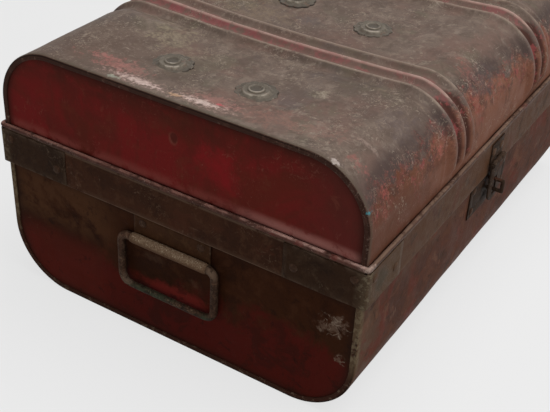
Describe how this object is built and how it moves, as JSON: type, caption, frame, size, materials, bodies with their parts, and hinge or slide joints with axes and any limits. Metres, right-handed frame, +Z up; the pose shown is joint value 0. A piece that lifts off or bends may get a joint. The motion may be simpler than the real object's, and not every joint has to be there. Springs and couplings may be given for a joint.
{
  "type": "metal suitcase",
  "caption": "Sheet-steel travelling suitcase with a ribbed, rounded lid that overlaps the body, back hinges, a front hasp and swinging wire handles.",
  "frame": {"origin": "middle of the flat bottom that the case stands on", "axes": "+X along the case to its right end as seen from the front, -Y towards the front with the hasp, +Z up"},
  "size_m": [0.5636, 0.4219, 0.2695],
  "materials": {
    "lid_paint": "old taupe-brown paint, worn to red underpaint on edges and ribs",
    "red_panel": "deep red paint, darkened and scratched",
    "body_paint": "red-brown paint with rust, dark stains and crusty patches",
    "band_paint": "nearly black brown paint, worn along the lower edge",
    "bead_steel": "rolled edge, paint rubbed to brown and pink-brown metal",
    "washer_steel": "grey-green tarnished pressed steel",
    "worn_iron": "rusted dark iron, brighter where hands and rings rub it"
  },
  "bodies": {
    "body": {"body_end_left": "body_paint", "body_end_right": "body_paint", "body_rim_wire": "bead_steel", "body_wrap": "body_paint", "handle_plate_left": "worn_iron", "handle_plate_right": "worn_iron", "handle_rivets_left": "worn_iron", "handle_rivets_right": "worn_iron", "hinge_body_leaf_left": "worn_iron", "hinge_body_leaf_right": "worn_iron", "hinge_body_rivets": "worn_iron", "hinge_pin_left": "worn_iron", "hinge_pin_right": "worn_iron", "lock_plate": "worn_iron", "lock_plate_rivets": "worn_iron", "staple": "worn_iron"},
    "lid": {"corner_strap_back_left": "band_paint", "corner_strap_back_right": "band_paint", "corner_strap_front_left": "band_paint", "corner_strap_front_right": "band_paint", "corner_strap_rivets": "band_paint", "hasp_leaf": "worn_iron", "hasp_pin": "worn_iron", "hasp_rivets": "worn_iron", "hinge_lid_leaf_left": "worn_iron", "hinge_lid_leaf_right": "worn_iron", "hinge_lid_rivets": "worn_iron", "lid_bead": "bead_steel", "lid_end_left": "red_panel", "lid_end_right": "red_panel", "lid_wrap": "lid_paint", "rosette_backing_washers": "washer_steel", "rosette_left_back": "washer_steel", "rosette_left_front": "washer_steel", "rosette_middle_back": "washer_steel", "rosette_middle_front": "washer_steel", "rosette_right_back": "washer_steel", "rosette_right_front": "washer_steel", "rosette_studs": "washer_steel", "skirt_back": "band_paint", "skirt_front": "band_paint", "skirt_left": "band_paint", "skirt_right": "band_paint"},
    "handle_ring_left": {"handle_ring_left": "worn_iron"},
    "handle_ring_right": {"handle_ring_right": "worn_iron"},
    "hasp": {"hasp_strap": "worn_iron"}
  },
  "joints": [
    {"name": "lid_hinge", "type": "hinge", "parent": "body", "child": "lid", "pos_m": [0, 0.2037, 0.1365], "axis": [-1, 0, 0], "range_deg": [0, 180]},
    {"name": "hasp_swing", "type": "hinge", "parent": "lid", "child": "hasp", "pos_m": [0, -0.2035, 0.146], "axis": [-1, 0, 0], "range_deg": [0, 165]},
    {"name": "handle_left_swing", "type": "hinge", "parent": "body", "child": "handle_ring_left", "pos_m": [-0.2766, 0, 0.1092], "axis": [0, 1, 0], "range_deg": [0, 172]},
    {"name": "handle_right_swing", "type": "hinge", "parent": "body", "child": "handle_ring_right", "pos_m": [0.2766, 0, 0.1092], "axis": [0, -1, 0], "range_deg": [0, 172]}
  ]
}
